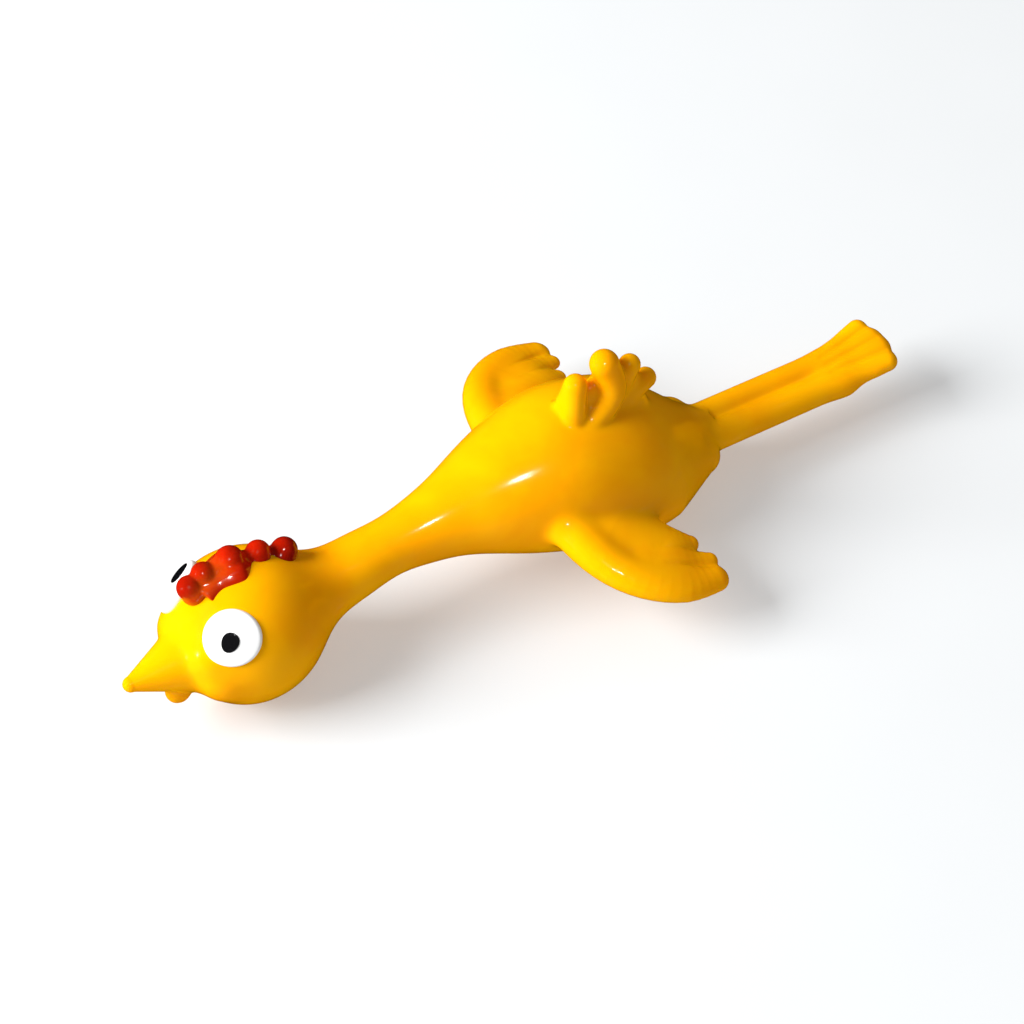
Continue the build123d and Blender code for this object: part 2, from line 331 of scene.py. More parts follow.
@dataclass(frozen=True)
class SkinNet:
    """Lays an even net of four-sided faces over a form's surface."""

    low: Point
    high: Point
    step: float = 0.26
    block: int = 8
    keep_within: float = 3.3
    relax: int = 4
    most_at_once: int = 400000

    def sample(self, form: RubberForm) -> np.ndarray:
        """Distances on a grid, exact near the surface and only signed elsewhere."""
        low, high = np.array(self.low), np.array(self.high)
        blocks = np.ceil((high - low) / (self.step * self.block)).astype(int)
        centres = np.stack(np.meshgrid(*[np.arange(n) + 0.5 for n in blocks], indexing="ij"), -1)
        coarse = form.distance(low + centres.reshape(-1, 3) * self.step * self.block).reshape(blocks)
        near = np.abs(coarse) < self.keep_within
        values = np.sign(coarse).astype(np.float32)
        for axis in range(3):
            near = np.repeat(near, self.block, axis)
            values = np.repeat(values, self.block, axis)
        wanted = np.argwhere(near)
        for part in np.array_split(wanted, max(1, len(wanted) // self.most_at_once)):
            values[tuple(part.T)] = form.distance(low + part * self.step)
        return values

    def lay(self, form: RubberForm) -> tuple[np.ndarray, np.ndarray]:
        """Makes the net.

        Args:
            form: the form to cover.

        Returns:
            The corner points in millimetres, and four corner numbers for each face.
        """
        values = self.sample(form)
        inside = values < 0
        size = np.array(values.shape) - 1
        corners = [(i, j, k) for i in (0, 1) for j in (0, 1) for k in (0, 1)]

        def shifted(array: np.ndarray, corner: tuple[int, int, int]) -> np.ndarray:
            """The array seen from one corner of every cell."""
            return array[tuple(slice(c, c + n) for c, n in zip(corner, size))]

        count = sum(shifted(inside, c).astype(np.uint8) for c in corners)
        cells = np.argwhere((count > 0) & (count < 8))
        total, crossings = np.zeros((len(cells), 3)), np.zeros(len(cells))
        for first in corners:
            for axis in range(3):
                if first[axis]:
                    continue
                second = np.array(first)
                second[axis] = 1
                a = values[tuple((cells + first).T)].astype(float)
                b = values[tuple((cells + second).T)].astype(float)
                crosses = (a < 0) != (b < 0)
                share = np.where(crosses, a / np.where(crosses, a - b, 1), 0)
                place = np.array(first) + share[:, None] * (second - np.array(first))
                total += place * crosses[:, None]
                crossings += crosses
        points = np.array(self.low) + (cells + total / crossings[:, None]) * self.step
        number = np.full(size, -1, np.int32)
        number[tuple(cells.T)] = np.arange(len(cells))
        faces = []
        for axis in range(3):
            one, two = (axis + 1) % 3, (axis + 2) % 3
            ends = [slice(None)] * 3
            starts = [slice(None)] * 3
            starts[axis], ends[axis] = slice(0, -1), slice(1, None)
            from_in = inside[tuple(starts)] & ~inside[tuple(ends)]
            to_in = ~inside[tuple(starts)] & inside[tuple(ends)]
            for crossing, order in ((from_in, 1), (to_in, -1)):
                edges = np.argwhere(crossing)
                keep = np.all((edges[:, [one, two]] > 0), 1) & np.all(edges < size, 1)
                edges = edges[keep]
                ring = []
                for back_one, back_two in ((1, 1), (0, 1), (0, 0), (1, 0)):
                    cell = edges.copy()
                    cell[:, one] -= back_one
                    cell[:, two] -= back_two
                    ring.append(number[tuple(cell.T)])
                faces.append(np.stack(ring[::order], 1))
        quads = np.concatenate(faces)
        edges = np.concatenate([quads[:, [i, (i + 1) % 4]] for i in range(4)])
        shares = np.bincount(edges[:, 0], minlength=len(points)).astype(float)
        for _ in range(self.relax):
            mean = np.stack(
                [np.bincount(edges[:, 0], points[edges[:, 1], axis], len(points)) for axis in range(3)], 1
            )
            points = form.settle(0.5 * points + 0.5 * mean / shares[:, None], 1)
        return form.settle(points, 2), quads


# ---- Meshes ----
def make_object(name: str, points: np.ndarray, faces: Sequence[Sequence[int]]) -> bpy.types.Object:
    """Makes a smooth-shaded mesh object at the origin.

    Args:
        name: the object's name.
        points: corner points in millimetres.
        faces: corner numbers for each face.

    Returns:
        The new object, in the scene.
    """
    mesh = bpy.data.meshes.new(name)
    mesh.from_pydata((np.asarray(points) * MM).tolist(), [], [list(map(int, f)) for f in faces])
    mesh.polygons.foreach_set("use_smooth", [True] * len(mesh.polygons))
    mesh.update()
    made = bpy.data.objects.new(name, mesh)
    bpy.context.scene.collection.objects.link(made)
    return made


def set_attribute(piece: bpy.types.Object, name: str, values: np.ndarray) -> None:
    """Stores one number for each corner point of a piece."""
    attribute = piece.data.attributes.new(name, "FLOAT", "POINT")
    attribute.data.foreach_set("value", np.asarray(values, np.float32))


def points_of(piece: bpy.types.Object) -> np.ndarray:
    """A piece's corner points in millimetres."""
    flat = np.empty(len(piece.data.vertices) * 3)
    piece.data.vertices.foreach_get("co", flat)
    return flat.reshape(-1, 3) / MM


def report(piece: bpy.types.Object) -> None:
    """Logs a finished piece and its size."""
    piece.data.calc_loop_triangles()
    log.info("%s: %d triangles, %s", piece.name, len(piece.data.loop_triangles), body_of(piece))


# ---- Materials ----
class Nodes:
    """Adds nodes to a material's or a group's tree with few words."""

    def __init__(self, tree: bpy.types.NodeTree) -> None:
        """Keeps the tree that nodes are added to."""
        self.tree = tree

    def add(self, kind: str, settings: dict | None = None, **inputs: object) -> bpy.types.Node:
        """Adds a node.

        Args:
            kind: the node's type name.
            settings: properties to set on the node.
            **inputs: values or sockets for its inputs, by name with _ for spaces, or i0, i1 by place.

        Returns:
            The new node.
        """
        node = self.tree.nodes.new(kind)
        for name, value in (settings or {}).items():
            setattr(node, name, value)
        for name, value in inputs.items():
            by_place = name[0] == "i" and name[1:].isdigit()
            socket = node.inputs[int(name[1:])] if by_place else node.inputs[name.replace("_", " ")]
            if isinstance(value, bpy.types.NodeSocket):
                self.tree.links.new(value, socket)
            else:
                socket.default_value = value
        return node

    def math(self, operation: str, *values: object) -> object:
        """The output socket of a sum on two or three values."""
        inputs = {f"i{place}": value for place, value in enumerate(values)}
        return self.add("ShaderNodeMath", {"operation": operation}, **inputs).outputs[0]

    def mix(self, share: object, first: object, second: object) -> object:
        """The output socket of a mix of two colours."""
        node = self.add("ShaderNodeMix", {"data_type": "RGBA"}, i0=share)
        for place, value in ((6, first), (7, second)):
            if isinstance(value, bpy.types.NodeSocket):
                self.tree.links.new(value, node.inputs[place])
            else:
                node.inputs[place].default_value = (*value, 1.0)
        return node.outputs[2]

    def noise(self, where: object, scale: float, detail: float = 2.0, warp: float = 0.0) -> object:
        """The output socket of a noise pattern, from 0 to 1."""
        inputs = {"Vector": where, "Scale": scale, "Detail": detail, "Distortion": warp}
        return self.add("ShaderNodeTexNoise", **inputs).outputs["Fac"]

    def ramp(self, value: object, low: float, high: float) -> object:
        """The output socket of a value spread from low..high to 0..1, smoothly and clamped."""
        node = self.add("ShaderNodeMapRange", {"interpolation_type": "SMOOTHSTEP"}, Value=value)
        node.inputs["From Min"].default_value = low
        node.inputs["From Max"].default_value = high
        return node.outputs["Result"]


def moulding_marks() -> bpy.types.ShaderNodeTree:
    """The group of marks that every moulded or painted surface here carries.

    Returns:
        A group that puts out soft mottling, small dark specks, faint scuffs and the height of fine
        waves left by the mould.
    """
    group = bpy.data.node_groups.new("moulding_marks", "ShaderNodeTree")
    for name, default in (("Mottle Scale", 90.0), ("Speck Amount", 0.5), ("Wave Scale", 260.0)):
        socket = group.interface.new_socket(name, in_out="INPUT", socket_type="NodeSocketFloat")
        socket.default_value = default
    for name in ("Mottle", "Specks", "Scuffs", "Height"):
        group.interface.new_socket(name, in_out="OUTPUT", socket_type="NodeSocketFloat")
    nodes = Nodes(group)
    given = nodes.add("NodeGroupInput").outputs
    where = nodes.add("ShaderNodeTexCoord").outputs["Object"]
    mottle = nodes.noise(where, 90.0, 3.0, 0.4)
    nodes.tree.links.new(given["Mottle Scale"], mottle.node.inputs["Scale"])
    dots = nodes.add("ShaderNodeTexVoronoi", Vector=where, Scale=330.0, Randomness=1.0)
    chosen = nodes.ramp(nodes.noise(where, 140.0, 0.0), 0.66, 0.72)
    small = nodes.math("SUBTRACT", 1.0, nodes.ramp(dots.outputs["Distance"], 0.07, 0.15))
    specks = nodes.math("MULTIPLY", nodes.math("MULTIPLY", small, chosen), given["Speck Amount"])
    slanted = {"Rotation": (0.3, 0.5, 0.6), "Scale": (1.0, 9.0, 9.0)}
    stretched = nodes.add("ShaderNodeMapping", Vector=where, **slanted)
    lines = nodes.noise(stretched.outputs[0], 160.0, 2.0, 0.6)
    scuffs = nodes.ramp(lines, 0.64, 0.72)
    waves = nodes.noise(where, 260.0, 3.0)
    nodes.tree.links.new(given["Wave Scale"], waves.node.inputs["Scale"])
    height = nodes.math("ADD", waves, nodes.math("MULTIPLY", scuffs, -0.25))
    nodes.add("NodeGroupOutput", Mottle=mottle, Specks=specks, Scuffs=scuffs, Height=height)
    return group


MOTTLE_SPREAD = (0.36, 0.66)  # mottle values that give the darker and the full colour
SPECK_SHADE = 0.25  # a speck's colour as a share of the darker colour
SPECK_STRENGTH = 0.8
SCUFF_ROUGHNESS = 0.14
BUMP_STRENGTH = 0.5
RUBBER_IOR = 1.46
COAT_ROUGHNESS = 0.06


@dataclass(frozen=True)
class Finish:
    """A glossy surface with mottled colour, specks, scuffs and fine waves.

    Colours are linear. translucency is how much light enters the rubber, depth how far it goes in
    millimetres for red, green and blue, and wave_height the height of its fine waves in millimetres.
    accent is a second colour, shown where the piece's "accent" attribute says, and shine is how
    strongly the surface under the coat reflects.
    """

    name: str
    colour: tuple[float, float, float]
    darker: tuple[float, float, float]
    roughness: float
    coat: float
    translucency: float = 0.0
    depth: tuple[float, float, float] = (1.0, 0.4, 0.1)
    specks: float = 0.4
    wave_height: float = 0.02
    accent: tuple[float, float, float] | None = None
    shine: float = 0.5

    def make(self, marks: bpy.types.ShaderNodeTree) -> bpy.types.Material:
        """Builds the material.

        Args:
            marks: the shared group of moulding marks.

        Returns:
            The finished material.
        """
        material = bpy.data.materials.new(self.name)
        material.use_nodes = True
        material.node_tree.nodes.clear()
        nodes = Nodes(material.node_tree)
        worn = nodes.add("ShaderNodeGroup", {"node_tree": marks}, Speck_Amount=self.specks).outputs
        spread = nodes.ramp(worn["Mottle"], *MOTTLE_SPREAD)
        colour = nodes.mix(spread, self.darker, self.colour)
        if self.accent:
            shares = nodes.add("ShaderNodeAttribute", {"attribute_name": "accent"}).outputs["Fac"]
            colour = nodes.mix(shares, colour, self.accent)
        speck_colour = tuple(SPECK_SHADE * c for c in self.darker)
        colour = nodes.mix(nodes.math("MULTIPLY", worn["Specks"], SPECK_STRENGTH), colour, speck_colour)
        rough = nodes.math("MULTIPLY_ADD", worn["Scuffs"], SCUFF_ROUGHNESS, self.roughness)
        waves = {"Strength": BUMP_STRENGTH, "Distance": self.wave_height * MM}
        bump = nodes.add("ShaderNodeBump", Height=worn["Height"], **waves)
        shader = nodes.add(
            "ShaderNodeBsdfPrincipled",
            Base_Color=colour,
            Roughness=rough,
            Normal=bump.outputs[0],
            IOR=RUBBER_IOR,
            Specular_IOR_Level=self.shine,
            Coat_Weight=self.coat,
            Coat_Roughness=COAT_ROUGHNESS,
        )
        if self.translucency:
            fade = nodes.add("ShaderNodeAttribute", {"attribute_name": "thick"}).outputs["Fac"]
            weight = nodes.math("MULTIPLY", fade, self.translucency)
            nodes.tree.links.new(weight, shader.inputs["Subsurface Weight"])
            shader.inputs["Subsurface Radius"].default_value = self.depth
            shader.inputs["Subsurface Scale"].default_value = MM
        nodes.add("ShaderNodeOutputMaterial", Surface=shader.outputs[0])
        return material


FINISHES = {
    Slot.RUBBER: Finish(
        "glossy_yellow_rubber",
        colour=(0.98, 0.43, 0.0),
        darker=(0.92, 0.36, 0.0),
        roughness=0.13,
        coat=0.1,
        translucency=0.3,
        depth=(1.6, 0.7, 0.05),
        shine=0.3,
    ),
    Slot.RED_RUBBER: Finish(
        "red_tinted_rubber",
        colour=(0.5, 0.012, 0.001),
        darker=(0.24, 0.004, 0.001),
        roughness=0.12,
        coat=0.2,
        translucency=0.35,
        depth=(1.0, 0.2, 0.02),
        specks=0.1,
        wave_height=0.03,
        accent=(0.62, 0.07, 0.003),
    ),
    Slot.WHITE: Finish(
        "satin_white_paint",
        colour=(0.93, 0.93, 0.93),
        darker=(0.86, 0.85, 0.84),
        roughness=0.34,
        coat=0.15,
        specks=0.9,
        wave_height=0.05,
    ),
    Slot.BLACK: Finish(
        "gloss_black_paint",
        colour=(0.006, 0.006, 0.007),
        darker=(0.003, 0.003, 0.004),
        roughness=0.2,
        coat=0.4,
        specks=0.0,
    ),
}


@dataclass
class Workshop:
    """The finishes, made once and shared by every piece."""

    materials: dict[Slot, bpy.types.Material] = field(default_factory=dict)

    def __post_init__(self) -> None:
        """Makes the shared group and each finish."""
        marks = moulding_marks()
        self.materials = {slot: finish.make(marks) for slot, finish in FINISHES.items()}

    def dress(self, piece: bpy.types.Object, slot: Slot, *nodes: str) -> None:
        """Gives a piece its finish and hides the CAD nodes it stands for."""
        piece.data.materials.clear()
        piece.data.materials.append(self.materials[slot])
        if nodes:
            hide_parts(*nodes)


# ---- The head's own directions ----
@dataclass(frozen=True)
class HeadPose:
    """Where the head lies: rolled onto its right cheek, with the beak turned a little to its left."""

    centre: Point = (38.2, 0.0, 9.7)
    roll: float = 14.0
    yaw: float = 5.5

    def axes(self) -> np.ndarray:
        """Rows are the head's forward, left and up directions."""
        yaw, roll = math.radians(self.yaw), math.radians(self.roll)
        forward = np.array([math.cos(yaw), math.sin(yaw), 0.0])
        up = np.array([math.sin(yaw) * math.sin(roll), -math.cos(yaw) * math.sin(roll), math.cos(roll)])
        return np.stack([forward, np.cross(up, forward), up])

    def at(self, forward: float, left: float, up: float) -> Point:
        """The point at a place given from the head's centre."""
        return tuple(np.array(self.centre) + np.array([forward, left, up]) @ self.axes())

    def towards(self, forward: float, left: float, up: float) -> Point:
        """The direction given in the head's own directions."""
        return tuple(np.array([forward, left, up]) @ self.axes())

    def local(self, points: np.ndarray) -> np.ndarray:
        """Points as forward, left and up from the head's centre."""
        return (points - np.array(self.centre)) @ self.axes().T


# ---- The moulding ----
@dataclass(frozen=True)
class WingPlane:
    """A wing's own plane: its root line runs back beside the trunk and the wing droops outwards."""

    side: int
    root: Point = (0.0, 11.9, 13.0)
    slope: float = 13.0
    droop: float = 8.0

    def axes(self) -> np.ndarray:
        """Rows are the wing's back, out and upper-face directions."""
        slope, droop = math.radians(self.slope), math.radians(self.droop)
        back = np.array([-math.cos(slope), 0.0, -math.sin(slope)])
        level_up = np.array([-math.sin(slope), 0.0, math.cos(slope)])
        out = math.cos(droop) * np.array([0.0, self.side, 0.0]) - math.sin(droop) * level_up
        face = math.sin(droop) * np.array([0.0, self.side, 0.0]) + math.cos(droop) * level_up
        return np.stack([back, out, face])

    def at(self, back: float, out: float, above: float = 0.0) -> Point:
        """The point at a place given along the root line, out from it and above the wing's plane."""
        start = np.array([self.root[0], self.side * self.root[1], self.root[2]])
        return tuple(start + np.array([back, out, above]) @ self.axes())


@dataclass(frozen=True)
class Moulding:
    """Every shape of the one soft moulding."""

    head: HeadPose = HeadPose()
    trunk: tuple[tuple[float, float, float], ...] = (
        (39.5, 9.8, 4.6),
        (35.0, 10.1, 6.9),
        (31.5, 10.2, 6.1),
        (28.5, 10.5, 5.05),
        (25.5, 10.9, 4.3),
        (22.5, 11.5, 4.0),
        (18.0, 12.3, 3.75),
        (14.0, 12.7, 4.3),
        (10.0, 13.1, 5.3),
        (6.0, 13.3, 6.85),
        (1.0, 13.1, 8.8),
        (-5.5, 12.5, 10.6),
        (-11.5, 11.0, 11.2),
        (-17.0, 9.9, 10.2),
        (-22.0, 9.0, 7.0),
        (-26.0, 8.3, 3.7),
        (-29.0, 8.0, 1.8),
    )

    def head_shapes(self) -> list[Roll]:
        """The head's ball, beak, cheeks and wattle."""
        at, towards = self.head.at, self.head.towards
        round_size, cheek_size = (9.75, 9.75), (2.9, 2.9)
        shapes = [Roll(at(-0.05, 0, 0), at(0.05, 0, 0), round_size, round_size, blend=4.0)]
        for side in (1, -1):
            ends = at(6.6, side * 3.6, 1.2), at(6.2, side * 4.2, -1.6)
            shapes.append(Roll(*ends, cheek_size, cheek_size, blend=2.6))
        beak_ends = at(6.0, 0, -0.4), at(16.25, 0, 0.5)
        wattle_ends = at(9.7, 0.2, -2.2), at(10.7, 0.4, -3.6)
        shapes.append(Roll(*beak_ends, (5.7, 5.4), (1.05, 1.0), towards(0, 0, 1), 1.5))
        shapes.append(Roll(*wattle_ends, (2.2, 1.9), (1.75, 1.4), towards(0, 1, 0), 1.0))
        return shapes

    def wing_shapes(self, side: int) -> tuple[list[Roll | Strand], list[Crease]]:
        """One wing's leading edge, its web, two feathers and the valleys between them."""
        wing = WingPlane(side)
        face = tuple(wing.axes()[2])

        def strand(places: tuple, sizes: tuple, blend: float) -> Strand:
            """A strand through places on the wing."""
            return Strand(tuple(wing.at(*place) for place in places), sizes, face, blend)

        edge = ((2.4, -2.6), (4.2, 3.2), (7.7, 7.4), (12.2, 9.6), (16.6, 9.9))
        edge_sizes = ((2.6, 2.4), (2.5, 2.2), (2.45, 1.95), (2.4, 1.6), (1.95, 1.2))
        outer, outer_sizes = ((9.0, 5.2), (13.4, 6.6), (17.5, 7.3)), ((2.6, 1.6), (2.2, 1.3), (1.1, 0.85))
        inner, inner_sizes = ((8.0, 0.6), (12.6, 3.0), (16.4, 4.2)), ((3.4, 1.8), (2.7, 1.4), (1.15, 0.85))
        rolls = [
            strand(edge, edge_sizes, 2.4),
            Roll(wing.at(7.6, -0.6), wing.at(11.4, 4.6), (5.4, 2.3), (4.8, 1.8), face, 2.4),
            strand(outer, outer_sizes, 1.2),
            strand(inner, inner_sizes, 1.2),
        ]
        creases = [
            Crease(wing.at(17.0, 8.6, 1.0), wing.at(10.8, 6.8, 1.4), 0.42, 0.2),
            Crease(wing.at(16.4, 5.7, 0.9), wing.at(10.6, 4.1, 1.4), 0.42, 0.18),
        ]
        return rolls, creases

    def plume_shapes(self) -> list[Roll | Strand]:
        """The tail plume's root and the soft lobes that fan out from it."""
        rolls = [
            Roll((-9.4, 0, 21.0), (-15.8, 0, 19.4), (3.2, 2.3), (3.0, 2.0), (0, 1, 0), 2.0),
            Roll((-11.4, 0, 23.6), (-15.4, 0, 23.0), (2.6, 1.45), (2.6, 1.3), (0, 1, 0), 1.2),
        ]
        for y in (1.0, -0.5):
            rolls += [
                Strand(
                    ((-7.3, 1.6 * y, 21.2), (-8.0, 0.8 * y, 24.4), (-8.6, 0.1 * y, 26.9)),
                    ((1.6, 1.6), (1.45, 1.45), (1.4, 1.4)),
                    blend=0.8,
                ),
                Strand(
                    ((-8.8, 2.2 * y, 20.8), (-13.0, 1.2 * y, 24.2), (-12.7, 0.2 * y, 28.6)),
                    ((1.6, 1.6), (1.85, 1.85), (1.75, 1.75)),
                    blend=0.8,
                ),
            ]
        rolls += [
            Roll((-13.4, 0, 22.0), (-16.4, 0, 26.4), (1.9, 1.9), (1.4, 1.4), blend=0.8),
            Roll((-14.0, 0, 20.6), (-18.8, 0, 22.6), (2.0, 1.9), (1.4, 1.35), blend=0.8),
        ]
        return rolls

    def leg_shapes(self) -> tuple[list[Roll], list[Crease]]:
        """The thighs, the two legs side by side, the feet and their toes."""
        rolls: list[Roll] = []
        for side in (1, -1):
            thigh = (-18.0, side * 5.3, 8.7), (-25.2, side * 3.9, 7.7)
            leg = (-22.0, 0.2 + side * 1.75, 7.9), (-48.0, 0.2 + side * 1.8, 7.3)
            rolls.append(Roll(*thigh, (4.9, 4.6), (2.5, 2.5), blend=3.0))
            rolls.append(Roll(*leg, (2.1, 1.9), (2.0, 1.8), blend=1.2))
        rolls.append(Roll((-48.6, 0.3, 7.5), (-52.0, 0.2, 8.4), (3.0, 1.5), (4.0, 1.4), blend=3.4))
        toes = ((-3.3, -53.9, 1.35), (-1.1, -54.5, 1.15), (1.2, -54.6, 1.15), (3.4, -54.2, 1.3))
        for y, x, size in toes:
            rolls.append(Roll((-49.8, 0.7 * y, 8.0), (x, y, 8.9), (1.3, 1.3), (size, 1.2), blend=1.4))
        creases = [Crease((-54.4, y, 10.1), (-47.0, 0.6 * y, 9.3), 0.4, 0.2) for y in (-2.2, 0.1, 2.4)]
        return rolls, creases

    def form(self) -> RubberForm:
        """The whole moulding as one form."""
        shapes: list[Roll | Strand | Spindle] = [Spindle(self.trunk), *self.head_shapes()]
        creases: list[Crease] = []
        for side in (1, -1):
            rolls, valleys = self.wing_shapes(side)
            shapes += rolls
            creases += valleys
        shapes += self.plume_shapes()
        rolls, valleys = self.leg_shapes()
        return RubberForm(shapes + rolls, creases + valleys)


class SkinPiece(Enum):
    """The stretches that the skin is cut into: CAD node, then the body or bodies it follows."""

    TORSO = ("body_skin", "torso", ("torso",))
    NECK_BASE = ("neck_base_skin", "neck_base", ("torso", "neck_base"))
    NECK_MIDDLE = ("neck_middle_skin", "neck_middle", ("neck_base", "neck_middle"))
    NECK_TOP = ("neck_top_skin", "neck_top", ("neck_middle", "neck_top"))
    HEAD = ("head_skin", "head", ("neck_top", "head"))
    WING_LEFT = ("wing_left_skin", "wing_left", ("torso", "wing_left"))
    WING_RIGHT = ("wing_right_skin", "wing_right", ("torso", "wing_right"))
    PLUME = ("tail_plume_skin", "tail_plume", ("torso", "tail_plume"))
    LEGS_ROOT = ("legs_root_skin", "legs_root", ("torso", "legs_root"))
    LEGS_MIDDLE = ("legs_middle_skin", "legs_middle", ("legs_root", "legs_middle"))
    LEGS_END = ("legs_end_skin", "legs_end", ("legs_middle", "legs_end"))
    FEET = ("feet_skin", "feet", ("legs_end", "feet"))


NECKS = (SkinPiece.NECK_BASE, SkinPiece.NECK_MIDDLE, SkinPiece.NECK_TOP, SkinPiece.HEAD)
LEGS = (SkinPiece.LEGS_ROOT, SkinPiece.LEGS_MIDDLE, SkinPiece.LEGS_END, SkinPiece.FEET)


@dataclass
class Skin:
    """Cuts the moulding's skin into closed pieces that share their rims, and lets each one bend."""

    form: RubberForm
    neck_cuts: tuple[float, ...] = (6.9, 12.8, 17.7, 23.7)
    leg_cuts: tuple[float, ...] = (-27.4, -31.8, -36.4, -43.8)
    wing_cut: float = 10.9
    plume_root: Point = (-8.6, 0.0, 23.2)
    plume_slope: float = 17.0
    plume_cut: float = 1.2
    bend_margin: float = 0.5
    head_bend_end: float = 29.4
    feet_bend_end: float = -48.6
    bend_height: float = 10.0
    wing_bend_line: tuple[float, float] = (-6.0, 11.0)  # x and height
    wing_bend: tuple[float, float] = (11.1, 14.6)
    plume_bend: tuple[float, float] = (1.6, 4.6)
    fade: float = 2.6

    def plume_up(self) -> np.ndarray:
        """The direction square to the plume's root line, in the middle plane."""
        slope = math.radians(self.plume_slope)
        return np.array([-math.sin(slope), 0.0, math.cos(slope)])

    def planes(self) -> list[tuple[np.ndarray, np.ndarray]]:
        """Every cut as a point in millimetres and a direction."""
        along = np.array([1.0, 0.0, 0.0])
        found = [(x * along, along) for x in self.neck_cuts + self.leg_cuts]
        found += [(np.array([0.0, s * self.wing_cut, 0.0]), np.array([0.0, s, 0.0])) for s in (1, -1)]
        up = self.plume_up()
        found.append((np.array(self.plume_root) + self.plume_cut * up, up))
        return found

    def piece_at(self, point: np.ndarray) -> SkinPiece:
        """The piece that a point of the skin belongs to."""
        x, y, _ = point
        if x > self.neck_cuts[0]:
            return NECKS[sum(x > cut for cut in self.neck_cuts) - 1]
        if x < self.leg_cuts[0]:
            return LEGS[sum(x < cut for cut in self.leg_cuts) - 1]
        if abs(y) > self.wing_cut:
            return SkinPiece.WING_LEFT if y > 0 else SkinPiece.WING_RIGHT
        if (point - np.array(self.plume_root)) @ self.plume_up() > self.plume_cut:
            return SkinPiece.PLUME
        return SkinPiece.TORSO

    def bend_ends(self, piece: SkinPiece) -> tuple[np.ndarray, np.ndarray]:
        """Where a piece starts and stops turning from its first body to its second."""
        if piece is SkinPiece.PLUME:
            root, up = np.array(self.plume_root), self.plume_up()
            return root + self.plume_bend[0] * up, root + self.plume_bend[1] * up
        if piece in (SkinPiece.WING_LEFT, SkinPiece.WING_RIGHT):
            side = 1 if piece is SkinPiece.WING_LEFT else -1
            x, height = self.wing_bend_line
            return tuple(np.array([x, side * y, height]) for y in self.wing_bend)
        if piece in NECKS:
            row, cuts, last, margin = NECKS, self.neck_cuts, self.head_bend_end, self.bend_margin
        else:
            row, cuts, last, margin = LEGS, self.leg_cuts, self.feet_bend_end, -self.bend_margin
        i = row.index(piece)
        end = last if piece is row[-1] else cuts[i + 1] - margin
        return tuple(np.array([x, 0.0, self.bend_height]) for x in (cuts[i] + margin, end))

    def cut(self, points: np.ndarray, quads: np.ndarray) -> dict[SkinPiece, bpy.types.Object]:
        """Cuts the net along every plane and closes each piece.

        Args:
            points: the net's corner points in millimetres.
            quads: the net's faces.

        Returns:
            The closed pieces.
        """
        whole = bmesh.new()
        corners = [whole.verts.new(p) for p in points]
        for face in quads:
            whole.faces.new([corners[i] for i in face])
        for place, direction in self.planes():
            everything = list(whole.verts) + list(whole.edges) + list(whole.faces)
            bmesh.ops.bisect_plane(
                whole, geom=everything, dist=1e-4, plane_co=Vector(place), plane_no=Vector(direction)
            )
        whole.verts.index_update()
        rim_points = np.array([v.co for v in whole.verts])
        normals = self.form.outward(rim_points)
        normals /= np.linalg.norm(normals, axis=1)[:, None]
        groups: dict[SkinPiece, list[list[int]]] = {piece: [] for piece in SkinPiece}
        for face in whole.faces:
            centre = np.array(face.calc_center_median())
            groups[self.piece_at(centre)].append([v.index for v in face.verts])
        whole.free()
        filled = {piece: faces for piece, faces in groups.items() if faces}
        return {piece: self.close(piece, faces, rim_points, normals) for piece, faces in filled.items()}

    def close(
        self, piece: SkinPiece, faces: list[list[int]], points: np.ndarray, normals: np.ndarray
    ) -> bpy.types.Object:
        """Makes one piece from its faces, with flat caps over its open rims.

        Args:
            piece: which piece it is.
            faces: the piece's faces, numbered in the whole skin.
            points: the whole skin's corner points.
            normals: the outward direction at each of them.

        Returns:
            The piece, with the whole skin's shading up to its rims.
        """
        used = np.unique(np.concatenate([np.array(f) for f in faces]))
        renumber = {old: new for new, old in enumerate(used)}
        made = make_object(piece.value[0], points[used], [[renumber[i] for i in f] for f in faces])
        shell = bmesh.new()
        shell.from_mesh(made.data)
        skin_faces = len(shell.faces)
        rims = [e for e in shell.edges if e.is_boundary]
        bmesh.ops.holes_fill(shell, edges=rims, sides=0)
        caps = list(shell.faces)[skin_faces:]
        if caps:
            bmesh.ops.triangulate(shell, faces=caps)
        shell.to_mesh(made.data)
        shell.free()
        mesh = made.data
        mesh.polygons.foreach_set("use_smooth", [True] * len(mesh.polygons))
        mesh.update()
        smooth = normals[used]
        wanted: list[Sequence[float]] = []
        for polygon in mesh.polygons:
            is_cap = polygon.index >= skin_faces
            for corner in polygon.vertices:
                wanted.append(tuple(polygon.normal) if is_cap else tuple(smooth[corner]))
        mesh.normals_split_custom_set(wanted)
        self.mark(made)
        return made

    def mark(self, piece: bpy.types.Object) -> None:
        """Stores how far from every cut each point is, so that light enters less near the rims."""
        points = points_of(piece)
        nearest = np.full(len(points), FAR)
        for place, direction in self.planes():
            nearest = np.minimum(nearest, np.abs((points - place) @ direction))
        share = np.clip(nearest / self.fade, 0, 1)
        set_attribute(piece, "thick", share * share * (3 - 2 * share))

    def build(self, workshop: Workshop) -> None:
        """Makes, dresses and mounts every piece of the skin."""
        net = SkinNet((-57.2, -24.6, -0.8), (57.2, 24.6, 33.6))
        points, quads = net.lay(self.form)
        log.info("skin net: %d points, %d faces", len(points), len(quads))
        for piece, made in self.cut(points, quads).items():
            _, node, bodies = piece.value
            workshop.dress(made, Slot.RUBBER, node)
            if len(bodies) == 1:
                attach(made, bodies[0])
            else:
                start, end = self.bend_ends(piece)
                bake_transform(made, *bodies, start=tuple(start * MM), end=tuple(end * MM))
            report(made)


